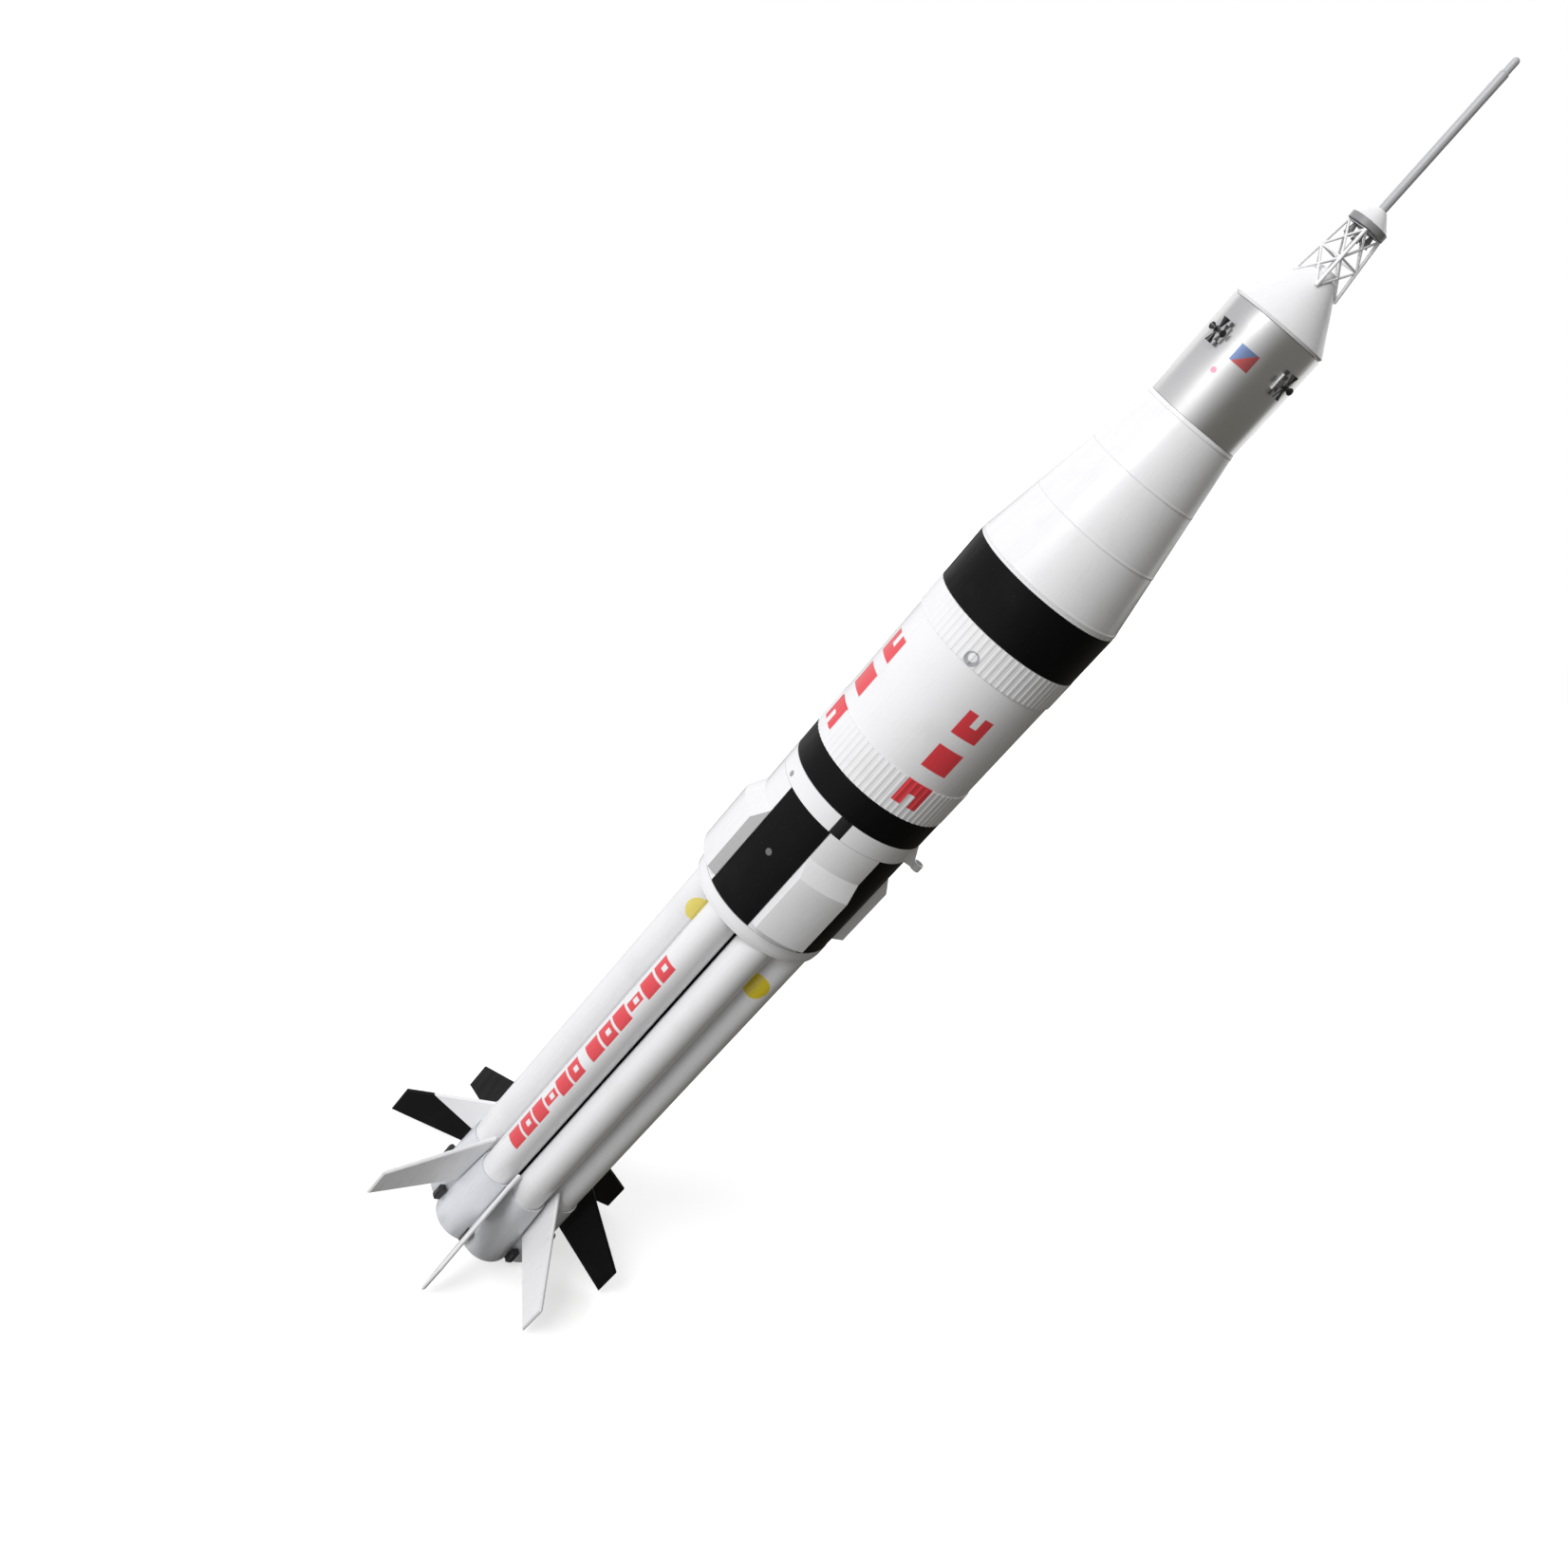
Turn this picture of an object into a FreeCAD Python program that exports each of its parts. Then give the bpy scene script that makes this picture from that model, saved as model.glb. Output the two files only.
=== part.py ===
import FreeCAD, Part
import math
import os

# Static display and flying scale rocket, standing on its tail with +Z towards the tip.
# Origin: centre of the resting face under the tail shroud. Azimuth 0 points along -Y.
# All lengths are millimetres.

# ---- layout -------------------------------------------------------------------------------
SECTORS = 8
SECTOR_ANGLE = 360.0 / SECTORS
HALF_SECTOR = SECTOR_ANGLE / 2.0
GAP = 0.3
GLUE_GAP = 0.1
RUN_GAP = 0.08
OVERCUT = 1.0

# ---- tail shroud --------------------------------------------------------------------------
SHROUD_HEIGHT = 60.0
SHROUD_FLOOR = 2.5
SHROUD_TOP_LOBE_R = 14.2
SHROUD_TOP_LOBE_CENTRE = 34.3
SHROUD_BASE_LOBE_R = 20.0
SHROUD_BASE_LOBE_CENTRE = 29.5
SHROUD_CORE_R = 37.2
SHROUD_CAVITY_R = 33.5
SHROUD_PORT_R = 18.6

# ---- tank cluster -------------------------------------------------------------------------
TANK_CIRCLE_R = 34.79
TANK_R = 12.53
TANK_WALL = 0.6
TANK_BOTTOM = SHROUD_FLOOR + GAP
TANK_TOP = 337.5
CORE_R = 21.8
CORE_WALL = 1.0
CORE_TOP = 437.0
PLATE = 3.0

# ---- motor mount --------------------------------------------------------------------------
MOTOR_R = 12.0
MOTOR_BORE_R = 8.5
MOTOR_BOTTOM = 2.9
MOTOR_LENGTH = 95.0
MOTOR_CAP = 4.0
NOZZLE_LENGTH = 9.0
NOZZLE_MOUTH_R = 5.0
NOZZLE_THROAT_R = 1.6
MOTOR_TUBE_IN_R = 12.1
MOTOR_TUBE_R = 12.7
MOTOR_TUBE_BOTTOM = 5.0
MOTOR_TUBE_TOP = 104.0
THRUST_RING_R = 9.0
MOTOR_RING_LOWER = 10.0
MOTOR_RING_UPPER = 84.0
RETAINER_R = 15.5
RETAINER_TOP = 9.2
RETAINER_CAP_R = 17.0
RETAINER_CAP_BOTTOM = 1.2
RETAINER_CAP_FLOOR = 1.4
RETAINER_CAP_TOP = 9.0
RETAINER_HOLE_R = 9.2
RETAINER_GRIPS = 12
RETAINER_GRIP_R = 0.8

# ---- fins ---------------------------------------------------------------------------------
FIN_THICKNESS = 3.0
FIN_BEVEL = 1.0
FIN_TIP_R = 100.5
FIN_ROOT_R = 41.0
FIN_FOOT_R = 44.8
FIN_ROOT_TOP = 76.0
FIN_ROOT_STEP = 62.0
FIN_FOOT = 26.2
FIN_TIP_TOP = 28.0
FIN_TIP_BOTTOM = 4.5
PAD_INNER_R = 45.8
PAD_OUTER_R = 51.0
PAD_WIDTH = 5.0
PAD_BOTTOM = 4.5
PAD_TOP = 15.0
PAD_BEVEL = 1.2

# ---- collar between the tanks and the upper body --------------------------------------------
COLLAR_IN_R = 46.5
COLLAR_R = 47.1
RIM_IN_R = 47.6
RIM_R = 48.4
RIM_BOTTOM_R = 47.95
RIM_BOTTOM = 334.0
RIM_STRAIGHT = 337.0
COLLAR_STEP = 341.3
RIM_TOP = 343.2
COLLAR_TOP = 438.2
PANEL_IN_R = 47.3
PANEL_R = 48.1
PANEL_BOTTOM = 343.6
PANEL_TOP = 425.5
PANEL_GAP_ANGLE = 0.5
PANEL_TURN = 1.5
BULGE_R = 55.0
BULGE_HALF_ANGLE = 18.5
BULGE_RETURN_ANGLE = 1.2
BULGE_WALL = 0.9
BULGE_BOTTOM = 347.5
BULGE_FULL = 350.0
BULGE_SLOPE = 394.0
BULGE_TOP = 405.0
COUPLER_R = 46.2
COUPLER_IN_R = 45.2
COUPLER_BOTTOM = 405.0
COUPLER_TOP = 470.0
FORWARD_RING = 431.0

# ---- upper body ---------------------------------------------------------------------------
BODY_R = 47.5
BODY_IN_R = 46.5
BODY_BOTTOM = 438.5
BODY_TOP = 607.2
WRAP_IN_R = 47.55
WRAP_R = 48.0
RIB_R = 48.22
RIBS = 72
RIB_FOOT = 0.45
RIB_CREST_START = 0.60
RIB_CREST_END = 0.85
AFT_RING_TOP = 458.0
AFT_RIBS_TOP = 482.5
FORE_RIBS_BOTTOM = 554.5
FORE_BAND_BOTTOM = 574.0
WADDING_R = 42.0
WADDING_BOTTOM = 437.5
WADDING_TOP = 452.0
PACK_R = 30.0
PACK_BOTTOM = 453.0
PACK_TOP = 540.0
PACK_ROUND = 9.0
ANCHOR_WIDTH = 16.0
ANCHOR_DEPTH = 3.0
ANCHOR_BOTTOM = 546.0
ANCHOR_TOP = 570.0
ANCHOR_OUT_R = 46.3

# ---- launch lugs --------------------------------------------------------------------------
LUG_AZIMUTH = 105.0
LUG_CENTRE_R = 59.3
LUG_BORE_R = 2.5
LUG_R = 3.4
LUG_BLADE = 1.8
LUG_LOWER_ROOT_R = 51.0
LUG_LOWER_BOTTOM = 18.0
LUG_LOWER_TOP = 40.0
LUG_UPPER_ROOT_R = 48.4
LUG_UPPER_BOTTOM = 415.5
LUG_UPPER_TOP = 420.5
LUG_UPPER_ROOT_TOP = 436.0

# ---- nose section -------------------------------------------------------------------------
SHOULDER_R = BODY_IN_R - RUN_GAP
SHOULDER_IN_R = 45.4
SHOULDER_BOTTOM = 577.0
SHOULDER_FLANGE_R = 47.9
SHOULDER_LIP = 607.5
SHOULDER_TOP = 609.0
SHOULDER_HOLE_R = 22.0
EYE_RING_R = 3.6
EYE_WIRE_R = 0.9
EYE_CENTRE = 569.5
ADAPTER_BASE_R = 47.9
ADAPTER_TOP_R = 28.1
ADAPTER_BOTTOM = 609.1
ADAPTER_TOP = 721.0
ADAPTER_WALL = 0.9
SERVICE_R = 28.0
SERVICE_WALL = 0.9
SERVICE_BOTTOM = 721.2
SERVICE_TOP = 781.0
SERVICE_COUPLER_R = 26.8
SERVICE_COUPLER_IN_R = 25.6
SERVICE_COUPLER_BOTTOM = 706.0
SERVICE_COUPLER_TOP = 738.0
THRUSTERS = 4
THRUSTER_HEIGHT = 762.0
THRUSTER_PLATE = 9.0
THRUSTER_PLATE_DEPTH = 1.2
THRUSTER_PLATE_OUT = 28.1
THRUSTER_NOZZLE_R = 2.0
THRUSTER_THROAT_R = 0.6
THRUSTER_NOZZLE_START = 1.6
THRUSTER_SIDE_REACH = 4.8
THRUSTER_UPRIGHT_REACH = 7.0
CAPSULE_BOTTOM = 781.3
CAPSULE_EDGE = 782.9
CAPSULE_R = 28.1
CAPSULE_NECK_R = 8.6
CAPSULE_NECK = 812.5
CAPSULE_WALL = 1.0
CAPSULE_CAP_R = 6.0
CAPSULE_CAP_TOP = 816.0

# ---- escape tower -------------------------------------------------------------------------
TOWER_LEGS = 4
LEG_R = 0.95
LEG_FOOT_CIRCLE = 13.2
LEG_FOOT = 806.4
LEG_HEAD_CIRCLE = 9.4
LEG_HEAD = 839.8
BRACE_R = 0.6
TOWER_BAYS = 2
SKIRT_BAND_R = 10.6
SKIRT_BAND_BOTTOM = 840.0
SKIRT_BAND_TOP = 843.4
SKIRT_CONE_BASE_R = 10.2
SKIRT_CONE_TOP_R = 3.2
SKIRT_CONE_TOP = 851.0
ROD_R = 2.4
ROD_BOTTOM = 844.0
ROD_TOP = 925.8
TIP_SPIGOT_R = 2.35
TIP_R = 1.9
TIP_TOP = 934.2
ESCAPE_NOZZLE_CIRCLE = 5.2
ESCAPE_NOZZLE_R = 2.3
ESCAPE_THROAT_R = 1.0
ESCAPE_NOZZLE_BOTTOM = 833.5
ESCAPE_NOZZLE_TOP = 839.7

UP = FreeCAD.Vector(0, 0, 1)
CENTRE = FreeCAD.Vector(0, 0, 0)

os.makedirs("parts", exist_ok=True)


def save(shape, node):
    shape.exportStep("parts/" + node + ".step")


def at(radius, azimuth, height):
    angle = math.radians(azimuth)
    return FreeCAD.Vector(radius * math.sin(angle), -radius * math.cos(angle), height)


def turned(shape, azimuth):
    copy = shape.copy()
    copy.rotate(CENTRE, UP, azimuth)
    return copy


def cylinder(radius, bottom, top, centre=CENTRE):
    base = FreeCAD.Vector(centre.x, centre.y, bottom)
    return Part.makeCylinder(radius, top - bottom, base, UP)


def cone(bottom_radius, top_radius, bottom, top, centre=CENTRE):
    base = FreeCAD.Vector(centre.x, centre.y, bottom)
    return Part.makeCone(bottom_radius, top_radius, top - bottom, base, UP)


def ring(outer, inner, bottom, top, centre=CENTRE):
    hole = cylinder(inner, bottom - OVERCUT, top + OVERCUT, centre)
    return cylinder(outer, bottom, top, centre).cut(hole)


def rod(start, end, radius):
    axis = end.sub(start)
    return Part.makeCylinder(radius, axis.Length, start, axis)


def merged(shapes):
    first, rest = shapes[0], shapes[1:]
    return first.multiFuse(rest).removeSplitter() if rest else first


def centred_box(inner, outer, width, bottom, top):
    corner = FreeCAD.Vector(-width / 2.0, -outer, bottom)
    return Part.makeBox(width, outer - inner, top - bottom, corner)


def upright_plate(outline, thickness):
    points = [FreeCAD.Vector(-thickness / 2.0, -radius, height) for radius, height in outline]
    wire = Part.makePolygon(points + [points[0]])
    return Part.Face(wire).extrude(FreeCAD.Vector(thickness, 0, 0))


def all_round(shape, count, first=0.0):
    return [turned(shape, first + index * 360.0 / count) for index in range(count)]


def revolved(points):
    outline = [FreeCAD.Vector(radius, 0, height) for radius, height in points]
    wire = Part.makePolygon(outline + [outline[0]])
    return Part.Face(wire).revolve(CENTRE, UP, 360)


# ---- tail shroud --------------------------------------------------------------------------
def make_tail_shroud():
    base = Part.makeCircle(SHROUD_BASE_LOBE_R, at(SHROUD_BASE_LOBE_CENTRE, 0, 0), UP)
    top = Part.makeCircle(SHROUD_TOP_LOBE_R, at(SHROUD_TOP_LOBE_CENTRE, 0, SHROUD_HEIGHT), UP)
    lobe = Part.makeLoft([Part.Wire(base), Part.Wire(top)], True, True)
    core = cylinder(SHROUD_CORE_R, 0, SHROUD_HEIGHT)
    block = core.multiFuse(all_round(lobe, SECTORS, HALF_SECTOR))
    pocket = cylinder(TANK_R + GAP, SHROUD_FLOOR, SHROUD_HEIGHT + OVERCUT, at(TANK_CIRCLE_R, 0, 0))
    cavity = cylinder(SHROUD_CAVITY_R, SHROUD_FLOOR, SHROUD_HEIGHT + OVERCUT)
    port = cylinder(SHROUD_PORT_R, -OVERCUT, SHROUD_FLOOR + OVERCUT)
    return block.cut(all_round(pocket, SECTORS, HALF_SECTOR) + [cavity, port])


# ---- tank cluster and motor mount -----------------------------------------------------------
def make_tank():
    return ring(TANK_R, TANK_R - TANK_WALL, TANK_BOTTOM, TANK_TOP, at(TANK_CIRCLE_R, 0, 0))


def make_motor_case():
    top = MOTOR_BOTTOM + MOTOR_LENGTH
    bore = cylinder(MOTOR_BORE_R, MOTOR_BOTTOM - OVERCUT, top - MOTOR_CAP)
    return cylinder(MOTOR_R, MOTOR_BOTTOM, top).cut(bore)


def make_motor_nozzle():
    bottom = MOTOR_BOTTOM + GAP
    middle = bottom + NOZZLE_LENGTH / 2.0
    top = bottom + NOZZLE_LENGTH
    mouth = cone(NOZZLE_MOUTH_R, NOZZLE_THROAT_R, bottom, middle)
    throat = cylinder(NOZZLE_THROAT_R, middle, top)
    return cylinder(MOTOR_BORE_R - GLUE_GAP, bottom, top).cut([mouth, throat])


def make_retainer_cap():
    cup = cylinder(RETAINER_CAP_R, RETAINER_CAP_BOTTOM, RETAINER_CAP_TOP)
    floor_top = RETAINER_CAP_BOTTOM + RETAINER_CAP_FLOOR
    bowl = cylinder(RETAINER_R + RUN_GAP, floor_top, RETAINER_CAP_TOP + OVERCUT)
    hole = cylinder(RETAINER_HOLE_R, RETAINER_CAP_BOTTOM - OVERCUT, floor_top + OVERCUT)
    grip = cylinder(RETAINER_GRIP_R, 0, RETAINER_CAP_TOP + OVERCUT, at(RETAINER_CAP_R, 0, 0))
    return cup.cut([bowl, hole] + all_round(grip, RETAINER_GRIPS))


# ---- fins and pads ------------------------------------------------------------------------
def make_fin():
    outline = [
        (FIN_FOOT_R, FIN_FOOT),
        (FIN_TIP_R, FIN_TIP_BOTTOM),
        (FIN_TIP_R, FIN_TIP_TOP),
        (FIN_ROOT_R, FIN_ROOT_TOP),
        (FIN_ROOT_R, FIN_ROOT_STEP),
    ]
    plate = upright_plate(outline, FIN_THICKNESS)

    def is_outer(edge):
        ends = [vertex.Point for vertex in edge.Vertexes]
        along = abs(ends[0].x - ends[1].x) < FIN_BEVEL
        inner = all(-point.y < FIN_FOOT_R + FIN_BEVEL for point in ends)
        return along and not inner

    bevelled = [edge for edge in plate.Edges if is_outer(edge)]
    return plate.makeChamfer(FIN_BEVEL, bevelled)


def make_pad():
    block = centred_box(PAD_INNER_R, PAD_OUTER_R, PAD_WIDTH, PAD_BOTTOM, PAD_TOP)
    outer = [edge for edge in block.Edges if -edge.CenterOfMass.y > PAD_OUTER_R - GAP]
    return block.makeChamfer(PAD_BEVEL, outer)


# ---- collar -------------------------------------------------------------------------------
def make_collar_frame():
    return revolved([
        (RIM_IN_R, RIM_BOTTOM),
        (RIM_BOTTOM_R, RIM_BOTTOM),
        (RIM_R, RIM_STRAIGHT),
        (RIM_R, RIM_TOP),
        (COLLAR_R, RIM_TOP),
        (COLLAR_R, COLLAR_TOP),
        (COLLAR_IN_R, COLLAR_TOP),
        (COLLAR_IN_R, COLLAR_STEP),
        (RIM_IN_R, COLLAR_STEP),
    ])


def sector_prism(half_plan):
    right = [at(radius, azimuth, 0) for radius, azimuth in half_plan]
    left = [at(radius, -azimuth, 0) for radius, azimuth in reversed(half_plan)]
    plan = Part.Face(Part.makePolygon([CENTRE] + right + left + [CENTRE]))
    return plan.extrude(FreeCAD.Vector(0, 0, PANEL_TOP + OVERCUT))


def make_flat_fairing():
    wedge = sector_prism([(2 * PANEL_R, HALF_SECTOR - PANEL_GAP_ANGLE / 2.0)])
    return ring(PANEL_R, PANEL_IN_R, PANEL_BOTTOM, PANEL_TOP).common(wedge)


def make_bulged_fairing():
    skin = ring(PANEL_R, PANEL_IN_R, PANEL_BOTTOM, PANEL_TOP)
    bulge = revolved([
        (PANEL_IN_R, BULGE_BOTTOM),
        (PANEL_R, BULGE_BOTTOM),
        (BULGE_R, BULGE_FULL),
        (BULGE_R, BULGE_SLOPE),
        (PANEL_R, BULGE_TOP),
        (PANEL_IN_R, BULGE_TOP),
    ])
    prism = sector_prism([
        (PANEL_R, HALF_SECTOR - PANEL_GAP_ANGLE / 2.0),
        (BULGE_R, BULGE_HALF_ANGLE),
        (2 * BULGE_R, BULGE_HALF_ANGLE),
    ])
    space = ring(BULGE_R - BULGE_WALL, COLLAR_IN_R, BULGE_FULL + BULGE_WALL, BULGE_SLOPE - BULGE_WALL)
    space = space.common(sector_prism([(2 * BULGE_R, BULGE_HALF_ANGLE - BULGE_RETURN_ANGLE)]))
    return skin.fuse(bulge).common(prism).removeSplitter().cut(space)


# ---- upper body ---------------------------------------------------------------------------
def make_ribbed_wrap(bottom, top):
    pitch = 360.0 / RIBS
    points = []
    for index in range(RIBS):
        start = index * pitch
        points.append(at(WRAP_R, start, bottom))
        points.append(at(WRAP_R, start + pitch * RIB_FOOT, bottom))
        points.append(at(RIB_R, start + pitch * RIB_CREST_START, bottom))
        points.append(at(RIB_R, start + pitch * RIB_CREST_END, bottom))
    face = Part.Face(Part.makePolygon(points + [points[0]]))
    wrap = face.extrude(FreeCAD.Vector(0, 0, top - bottom))
    return wrap.cut(cylinder(WRAP_IN_R, bottom - OVERCUT, top + OVERCUT))


def make_pack():
    bundle = cylinder(PACK_R, PACK_BOTTOM, PACK_TOP)
    rims = [edge for edge in bundle.Edges if isinstance(edge.Curve, Part.Circle)]
    return bundle.makeFillet(PACK_ROUND, rims)


def make_anchor():
    block = centred_box(0, ANCHOR_OUT_R, ANCHOR_WIDTH, ANCHOR_BOTTOM, ANCHOR_TOP)
    shell = ring(ANCHOR_OUT_R, ANCHOR_OUT_R - ANCHOR_DEPTH, ANCHOR_BOTTOM, ANCHOR_TOP)
    return turned(block.common(shell), 180)


# ---- launch lugs --------------------------------------------------------------------------
def make_lug(bottom, top, root_radius, root_top):
    centre = at(LUG_CENTRE_R, 0, 0)
    outline = [
        (root_radius, bottom),
        (LUG_CENTRE_R, bottom),
        (LUG_CENTRE_R, top),
        (LUG_CENTRE_R - LUG_R, top),
        (root_radius, root_top),
    ]
    tube = cylinder(LUG_R, bottom, top, centre)
    bore = cylinder(LUG_BORE_R, bottom - OVERCUT, top + OVERCUT, centre)
    lug = merged([tube, upright_plate(outline, LUG_BLADE)]).cut(bore)
    return turned(lug, LUG_AZIMUTH)


# ---- nose section -------------------------------------------------------------------------
def make_shoulder():
    return revolved([
        (SHOULDER_IN_R, SHOULDER_BOTTOM),
        (SHOULDER_R, SHOULDER_BOTTOM),
        (SHOULDER_R, SHOULDER_LIP),
        (SHOULDER_FLANGE_R, SHOULDER_LIP),
        (SHOULDER_FLANGE_R, SHOULDER_TOP),
        (SHOULDER_HOLE_R, SHOULDER_TOP),
        (SHOULDER_HOLE_R, SHOULDER_LIP),
        (SHOULDER_IN_R, SHOULDER_LIP),
    ])


def make_eye():
    centre = FreeCAD.Vector(0, 0, EYE_CENTRE)
    loop = Part.makeTorus(EYE_RING_R, EYE_WIRE_R, centre, FreeCAD.Vector(1, 0, 0))
    stem_bottom = EYE_CENTRE + EYE_RING_R
    return loop.fuse(cylinder(EYE_WIRE_R, stem_bottom, SHOULDER_BOTTOM)).removeSplitter()


def make_adapter():
    return revolved([
        (ADAPTER_BASE_R - ADAPTER_WALL, ADAPTER_BOTTOM),
        (ADAPTER_BASE_R, ADAPTER_BOTTOM),
        (ADAPTER_TOP_R, ADAPTER_TOP),
        (ADAPTER_TOP_R - ADAPTER_WALL, ADAPTER_TOP),
    ])


def make_thruster_plate():
    half = THRUSTER_PLATE / 2.0
    outer = THRUSTER_PLATE_OUT + THRUSTER_PLATE_DEPTH
    low, high = THRUSTER_HEIGHT - half, THRUSTER_HEIGHT + half
    block = centred_box(0, outer, THRUSTER_PLATE, low, high)
    return block.cut(cylinder(THRUSTER_PLATE_OUT, low - OVERCUT, high + OVERCUT))


def make_thruster_nozzles():
    seat = THRUSTER_PLATE_OUT + THRUSTER_PLATE_DEPTH + THRUSTER_NOZZLE_R + GLUE_GAP
    hub = FreeCAD.Vector(0, -seat, THRUSTER_HEIGHT)
    nozzles = []
    for index in range(THRUSTERS):
        angle = math.radians(index * 360.0 / THRUSTERS)
        away = FreeCAD.Vector(math.cos(angle), 0, math.sin(angle))
        start = hub + away * THRUSTER_NOZZLE_START
        length = (THRUSTER_UPRIGHT_REACH if index % 2 else THRUSTER_SIDE_REACH) - THRUSTER_NOZZLE_START
        nozzles.append(Part.makeCone(THRUSTER_THROAT_R, THRUSTER_NOZZLE_R, length, start, away))
    return nozzles


def make_capsule():
    inner_base = CAPSULE_R - CAPSULE_WALL
    return revolved([
        (0, CAPSULE_BOTTOM),
        (CAPSULE_R - CAPSULE_WALL, CAPSULE_BOTTOM),
        (CAPSULE_R, CAPSULE_EDGE),
        (CAPSULE_NECK_R, CAPSULE_NECK),
        (CAPSULE_CAP_R, CAPSULE_NECK + OVERCUT),
        (CAPSULE_CAP_R, CAPSULE_CAP_TOP),
        (0, CAPSULE_CAP_TOP),
        (0, CAPSULE_NECK - CAPSULE_WALL),
        (CAPSULE_NECK_R - CAPSULE_WALL, CAPSULE_NECK - CAPSULE_WALL),
        (inner_base - CAPSULE_WALL, CAPSULE_EDGE + CAPSULE_WALL),
        (0, CAPSULE_EDGE + CAPSULE_WALL),
    ])


# ---- escape tower -------------------------------------------------------------------------
def tower_joint(leg, level):
    share = level / TOWER_BAYS
    circle = LEG_FOOT_CIRCLE + (LEG_HEAD_CIRCLE - LEG_FOOT_CIRCLE) * share
    return at(circle, leg * 360.0 / TOWER_LEGS, LEG_FOOT + (LEG_HEAD - LEG_FOOT) * share)


def make_tower():
    members = []
    for leg in range(TOWER_LEGS):
        members.append(rod(tower_joint(leg, 0), tower_joint(leg, TOWER_BAYS), LEG_R))
        for level in range(TOWER_BAYS + 1):
            if level > 0:
                members.append(rod(tower_joint(leg, level), tower_joint(leg + 1, level), BRACE_R))
            if level < TOWER_BAYS:
                members.append(rod(tower_joint(leg, level), tower_joint(leg + 1, level + 1), BRACE_R))
                members.append(rod(tower_joint(leg + 1, level), tower_joint(leg, level + 1), BRACE_R))
    lattice = merged(members)
    slab = cylinder(SKIRT_BAND_R, LEG_HEAD - GAP, LEG_HEAD + PLATE)
    below = cone(CAPSULE_R + GAP, CAPSULE_NECK_R + GAP, CAPSULE_EDGE, CAPSULE_NECK)
    return lattice.cut([slab, below])


def make_escape_nozzle():
    centre = at(ESCAPE_NOZZLE_CIRCLE, 0, 0)
    return cone(ESCAPE_NOZZLE_R, ESCAPE_THROAT_R, ESCAPE_NOZZLE_BOTTOM, ESCAPE_NOZZLE_TOP, centre)


def make_skirt_cone():
    body = cone(SKIRT_CONE_BASE_R, SKIRT_CONE_TOP_R, SKIRT_BAND_TOP + GLUE_GAP, SKIRT_CONE_TOP)
    return body.cut(cylinder(ROD_R + GLUE_GAP, ROD_BOTTOM - GAP, SKIRT_CONE_TOP + OVERCUT))


def make_tip():
    bottom = ROD_TOP + GLUE_GAP
    dome = TIP_TOP - TIP_R
    foot = cone(TIP_SPIGOT_R, TIP_R, bottom, bottom + OVERCUT)
    shaft = cylinder(TIP_R, bottom + OVERCUT, dome)
    head = Part.makeSphere(TIP_R, FreeCAD.Vector(0, 0, dome))
    return merged([foot, shaft, head])


# ---- write the stage ----------------------------------------------------------------------
save(make_tail_shroud(), "tail_shroud")
save(ring(CORE_R, CORE_R - CORE_WALL, TANK_BOTTOM, CORE_TOP), "core_tube")
for number, tank in enumerate(all_round(make_tank(), SECTORS, HALF_SECTOR), 1):
    save(tank, "tank_tube_%d" % number)
for number, fin in enumerate(all_round(make_fin(), SECTORS), 1):
    save(fin, "fin_%d" % number)
save(Part.makeCompound(all_round(make_pad(), SECTORS)), "hold_down_pads")
plate_in = CORE_R + GLUE_GAP
save(ring(RIM_IN_R - GAP, plate_in, TANK_TOP + GAP, TANK_TOP + GAP + PLATE), "tank_plate")

save(make_motor_case(), "motor_case")
save(make_motor_nozzle(), "motor_nozzle")
save(ring(MOTOR_TUBE_R, MOTOR_TUBE_IN_R, MOTOR_TUBE_BOTTOM, MOTOR_TUBE_TOP), "motor_tube")
thrust_bottom = MOTOR_BOTTOM + MOTOR_LENGTH + GAP
save(ring(MOTOR_TUBE_IN_R - GLUE_GAP, THRUST_RING_R, thrust_bottom, MOTOR_TUBE_TOP), "thrust_ring")
mount_out = CORE_R - CORE_WALL - GLUE_GAP
mount_in = MOTOR_TUBE_R + GLUE_GAP
save(ring(mount_out, mount_in, MOTOR_RING_LOWER, MOTOR_RING_LOWER + PLATE), "motor_ring_lower")
save(ring(mount_out, mount_in, MOTOR_RING_UPPER, MOTOR_RING_UPPER + PLATE), "motor_ring_upper")
save(ring(RETAINER_R, mount_in, MOTOR_TUBE_BOTTOM, RETAINER_TOP), "retainer_body")
save(make_retainer_cap(), "retainer_cap")

save(make_collar_frame(), "collar_frame")
first_panel = HALF_SECTOR + PANEL_TURN
white_panels = all_round(make_bulged_fairing(), SECTORS // 2, first_panel)
black_panels = all_round(make_flat_fairing(), SECTORS // 2, first_panel + SECTOR_ANGLE)
save(Part.makeCompound(white_panels), "fairings_white")
save(Part.makeCompound(black_panels), "fairings_black")
save(ring(PANEL_R, PANEL_IN_R, PANEL_TOP + GAP, COLLAR_TOP), "collar_band")
save(ring(COUPLER_R, COUPLER_IN_R, COUPLER_BOTTOM, COUPLER_TOP), "stage_coupler")
ring_out = COUPLER_IN_R - GLUE_GAP
save(ring(ring_out, plate_in, FORWARD_RING, FORWARD_RING + PLATE), "forward_ring")

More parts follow.
